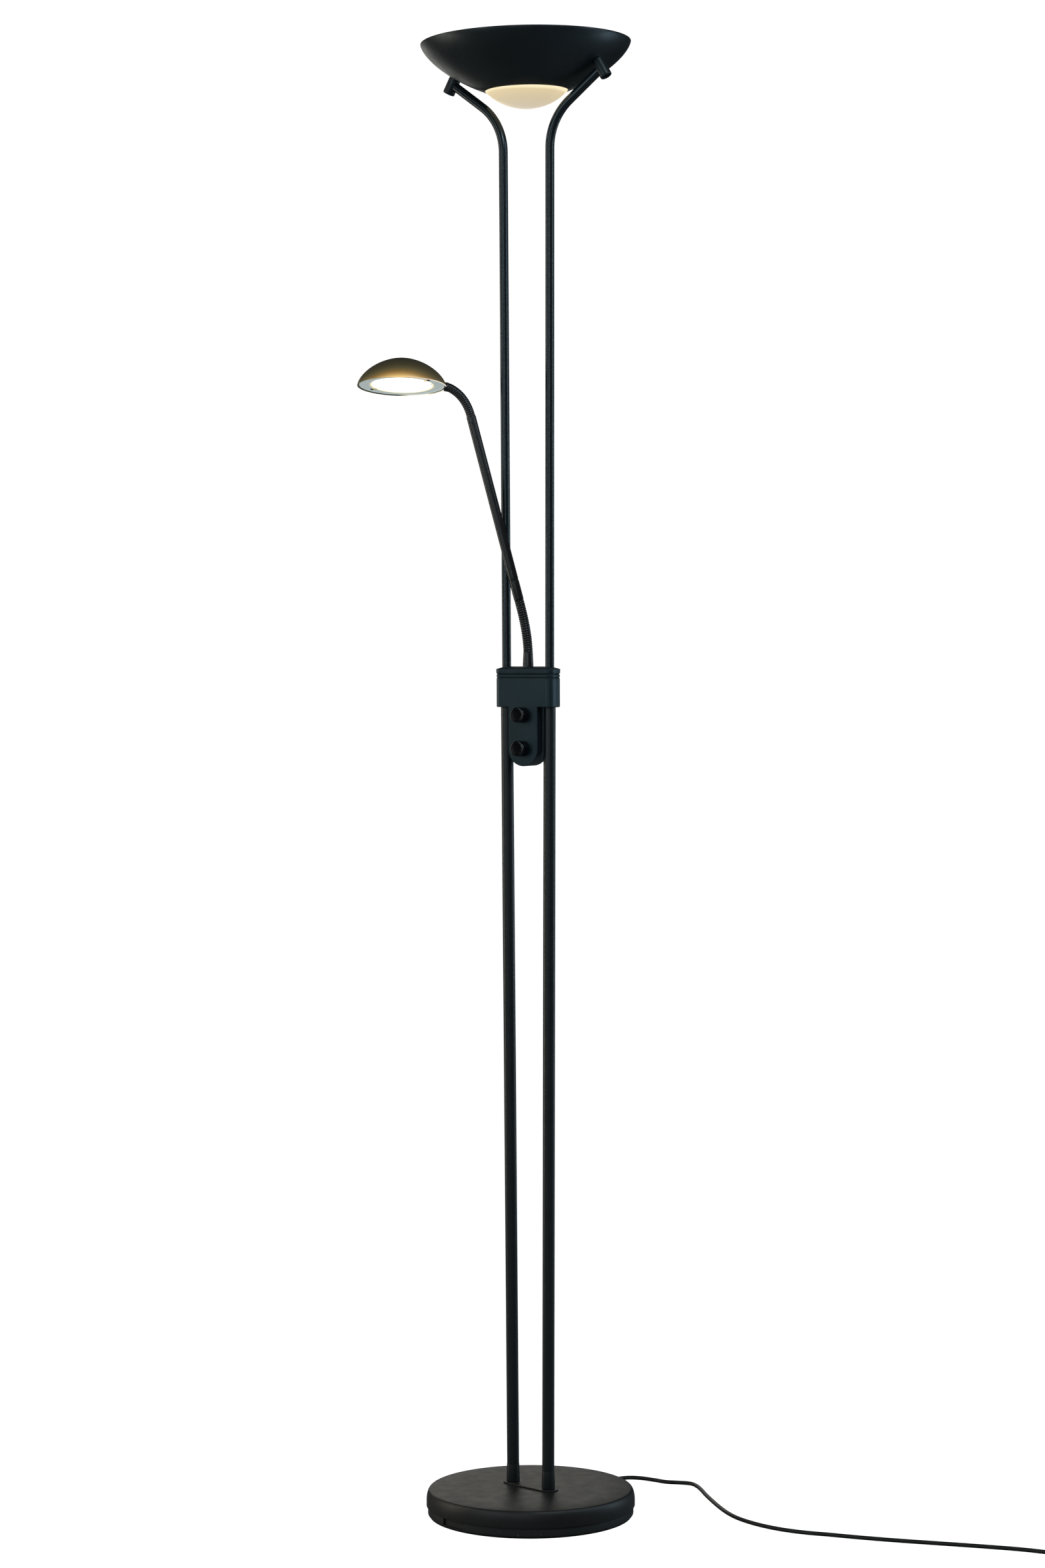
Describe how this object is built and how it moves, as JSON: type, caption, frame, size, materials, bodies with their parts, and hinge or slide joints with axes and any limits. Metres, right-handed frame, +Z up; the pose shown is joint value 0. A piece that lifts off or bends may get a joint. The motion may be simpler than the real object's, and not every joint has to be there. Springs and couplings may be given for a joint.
{
  "type": "torchiere floor lamp",
  "caption": "Torchiere floor lamp: weighted round base, twin poles to an uplight bowl with glass underside, control box with dimmer knobs, gooseneck reading arm, mains lead.",
  "frame": {"origin": "centre of the base's flat underside, on the floor", "axes": "+Z up to the bowl; the two poles stand in the XZ plane at the control box; the knobs face -Y, the front; the reading arm leans towards -X and a little -Y"},
  "size_m": [0.894, 0.4019, 1.8024],
  "materials": {
    "satin_black": "satin black powder coat",
    "tray_black": "dull black paint",
    "foam_black": "matt foam",
    "cast_iron": "rough cast",
    "zinc_steel": "zinc plated",
    "steel": "plain",
    "aluminium": "plain",
    "circuit_board": "white solder mask",
    "pot_housing": "matt",
    "shell_black": "fine satin texture",
    "gloss_black": "glossy",
    "white_plastic": "matt",
    "reflector_grey": "satin grey",
    "opal_plastic": "opal, lit from behind",
    "frosted_glass": "frosted, opal, lit from inside",
    "black_pvc": "satin flexible plastic"
  },
  "bodies": {
    "stand": {"arm_socket": "satin_black", "base_ballast": "cast_iron", "base_cover": "satin_black", "base_sole": "foam_black", "base_tray": "tray_black", "bowl": "satin_black", "bowl_glass": "frosted_glass", "bowl_joint_left": "satin_black", "bowl_joint_right": "satin_black", "bowl_screw_left": "steel", "bowl_screw_right": "steel", "box_front": "shell_black", "box_rear": "shell_black", "box_screw_lower": "steel", "box_screw_upper": "steel", "dimmer_board": "circuit_board", "dimmer_pot_lower": "pot_housing", "dimmer_pot_upper": "pot_housing", "foot_collar_left": "satin_black", "foot_collar_right": "satin_black", "foot_plate": "satin_black", "lead_coil": "black_pvc", "lead_strain_relief": "black_pvc", "led_board": "circuit_board", "led_driver": "white_plastic", "led_plate": "aluminium", "lower_pole_left": "satin_black", "lower_pole_right": "satin_black", "mains_lead": "black_pvc", "plug": "black_pvc", "pole_block": "zinc_steel", "pole_stud_left": "zinc_steel", "pole_stud_right": "zinc_steel", "stud_nut_left": "zinc_steel", "stud_nut_right": "zinc_steel", "top_diffuser": "opal_plastic", "upper_pole_left": "satin_black", "upper_pole_right": "satin_black"},
    "lower_link_1": {"lower_neck_link_1": "satin_black"},
    "lower_link_2": {"lower_neck_link_2": "satin_black"},
    "lower_link_3": {"lower_neck_link_3": "satin_black"},
    "lower_link_4": {"lower_neck_link_4": "satin_black"},
    "arm": {"arm_tube": "satin_black"},
    "upper_link_1": {"upper_neck_link_1": "satin_black"},
    "upper_link_2": {"upper_neck_link_2": "satin_black"},
    "upper_link_3": {"upper_neck_link_3": "satin_black"},
    "upper_link_4": {"upper_neck_link_4": "satin_black"},
    "reading_head": {"head_collar": "satin_black", "head_dome": "satin_black", "head_ring": "reflector_grey", "head_diffuser": "opal_plastic", "head_led_board": "aluminium", "head_screw_1": "steel", "head_screw_2": "steel"},
    "upper_dimmer": {"knob_upper": "gloss_black", "pot_shaft_upper": "steel"},
    "lower_dimmer": {"knob_lower": "gloss_black", "pot_shaft_lower": "steel"}
  },
  "joints": [
    {"name": "lower_neck_bend_1", "type": "hinge", "parent": "stand", "child": "lower_link_1", "pos_m": [0, 0, 1.0648], "axis": [0.515, -0.8572, 0], "range_deg": [-2.7, 16.7]},
    {"name": "lower_neck_sway_1", "type": "hinge", "parent": "lower_link_1", "child": "lower_link_2", "pos_m": [-0.00089, -0.00053, 1.07796], "axis": [0.8478, 0.5094, 0.1478], "range_deg": [0, 15]},
    {"name": "lower_neck_bend_2", "type": "hinge", "parent": "lower_link_2", "child": "lower_link_3", "pos_m": [-0.00256, -0.00154, 1.09101], "axis": [0.515, -0.8572, 0], "range_deg": [-2.7, 16.7]},
    {"name": "lower_neck_sway_2", "type": "hinge", "parent": "lower_link_3", "child": "lower_link_4", "pos_m": [-0.00472, -0.00284, 1.10397], "axis": [0.8335, 0.5008, 0.2334], "range_deg": [0, 15]},
    {"name": "lower_neck_bend_3", "type": "hinge", "parent": "lower_link_4", "child": "arm", "pos_m": [-0.00736, -0.00442, 1.11681], "axis": [0.515, -0.8572, 0], "range_deg": [-2.7, 16.7]},
    {"name": "upper_neck_bend_1", "type": "hinge", "parent": "arm", "child": "upper_link_1", "pos_m": [-0.05981, -0.03594, 1.35342], "axis": [-0.515, 0.8572, 0], "range_deg": [-12, 15]},
    {"name": "upper_neck_sway_1", "type": "hinge", "parent": "upper_link_1", "child": "upper_link_2", "pos_m": [-0.06302, -0.03787, 1.36269], "axis": [0.7269, 0.4368, 0.5299], "range_deg": [-15, 15]},
    {"name": "upper_neck_bend_2", "type": "hinge", "parent": "upper_link_2", "child": "upper_link_3", "pos_m": [-0.06757, -0.0406, 1.37118], "axis": [-0.515, 0.8572, 0], "range_deg": [-12, 15]},
    {"name": "upper_neck_sway_2", "type": "hinge", "parent": "upper_link_3", "child": "upper_link_4", "pos_m": [-0.07352, -0.04418, 1.37837], "axis": [0.4668, 0.2805, 0.8387], "range_deg": [-15, 15]},
    {"name": "upper_neck_bend_3", "type": "hinge", "parent": "upper_link_4", "child": "reading_head", "pos_m": [-0.08071, -0.0485, 1.38381], "axis": [-0.515, 0.8572, 0], "range_deg": [-12, 15]},
    {"name": "upper_knob_turn", "type": "hinge", "parent": "stand", "child": "upper_dimmer", "pos_m": [0, -0.0207, 0.9857], "axis": [0, -1, 0], "range_deg": [0, 270]},
    {"name": "lower_knob_turn", "type": "hinge", "parent": "stand", "child": "lower_dimmer", "pos_m": [0, -0.0207, 0.9447], "axis": [0, -1, 0], "range_deg": [0, 270]}
  ],
  "couplings": [
    {"joint": "lower_neck_bend_2", "follows": "lower_neck_bend_1", "ratio": 1},
    {"joint": "lower_neck_bend_3", "follows": "lower_neck_bend_1", "ratio": 1},
    {"joint": "lower_neck_sway_2", "follows": "lower_neck_sway_1", "ratio": 1},
    {"joint": "upper_neck_bend_2", "follows": "upper_neck_bend_1", "ratio": 1},
    {"joint": "upper_neck_bend_3", "follows": "upper_neck_bend_1", "ratio": 1},
    {"joint": "upper_neck_sway_2", "follows": "upper_neck_sway_1", "ratio": 1}
  ]
}
